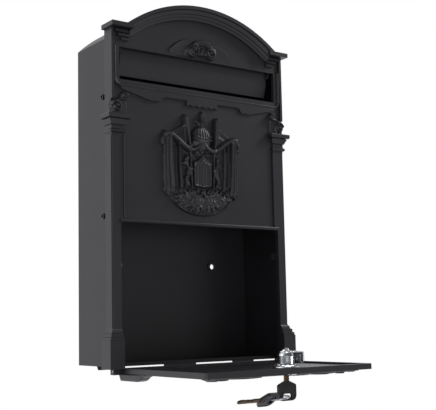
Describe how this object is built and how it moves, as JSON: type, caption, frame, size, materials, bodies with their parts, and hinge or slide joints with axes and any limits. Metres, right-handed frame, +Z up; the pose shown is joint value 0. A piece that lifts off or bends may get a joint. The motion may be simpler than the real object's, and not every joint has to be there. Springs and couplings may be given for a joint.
{
  "type": "wall mounted mailbox",
  "caption": "Wall-mounted letterbox with a classical cast front, a top-hinged mail flap and a drop-down door with a cam lock and keys.",
  "frame": {"origin": "centre of the four wall screw holes, on the back face that lies on the wall", "axes": "+Z up, the front faces -Y, +X to the right seen from the front"},
  "size_m": [0.2532, 0.2308, 0.4471],
  "materials": {
    "black_powder": "satin near-black powder coat",
    "zinc": "zinc plated steel",
    "chrome": "bright chrome plate",
    "key_plastic": "black moulded plastic",
    "key_brass": "aged brass key blank",
    "ring_steel": "bright steel wire"
  },
  "bodies": {
    "housing": {"rear_shell": "black_powder", "roof_sheet": "black_powder", "floor_pan": "black_powder", "front_casting": "black_powder", "console_scrolls": "black_powder", "pediment_ornament": "black_powder", "crest_badge": "black_powder", "side_screws": "black_powder", "flap_brackets": "black_powder", "flap_rod": "black_powder", "rod_clips": "zinc", "hinge_pins": "zinc"},
    "flap": {"flap_panel": "black_powder"},
    "door": {"door_panel": "black_powder", "door_relief": "black_powder", "lock_body": "chrome", "lock_nut": "chrome"},
    "lock_turning": {"lock_plug": "chrome", "lock_cam": "chrome", "cam_screw": "chrome", "key_blade": "key_brass", "key_bow": "key_plastic"},
    "ring": {"key_ring": "ring_steel"},
    "spare": {"spare_blade": "key_brass", "spare_bow": "key_plastic"}
  },
  "joints": [
    {"name": "flap_hinge", "type": "hinge", "parent": "housing", "child": "flap", "pos_m": [0, -0.0685, 0.138], "axis": [1, 0, 0], "range_deg": [0, 70]},
    {"name": "door_hinge", "type": "hinge", "parent": "housing", "child": "door", "pos_m": [0, -0.074, -0.2176], "axis": [-1, 0, 0], "range_deg": [0, 90]},
    {"name": "key_turn", "type": "hinge", "parent": "door", "child": "lock_turning", "pos_m": [0, -0.2173, -0.213], "axis": [0, 0, -1], "range_deg": [0, 90]},
    {"name": "ring_swing", "type": "hinge", "parent": "lock_turning", "child": "ring", "pos_m": [0, -0.2173, -0.2425], "axis": [0, -1, 0], "range_deg": [-4, 84]},
    {"name": "spare_swing", "type": "hinge", "parent": "ring", "child": "spare", "pos_m": [-0.01989, -0.2173, -0.24459], "axis": [0, -1, 0], "range_deg": [-12, 35]}
  ]
}
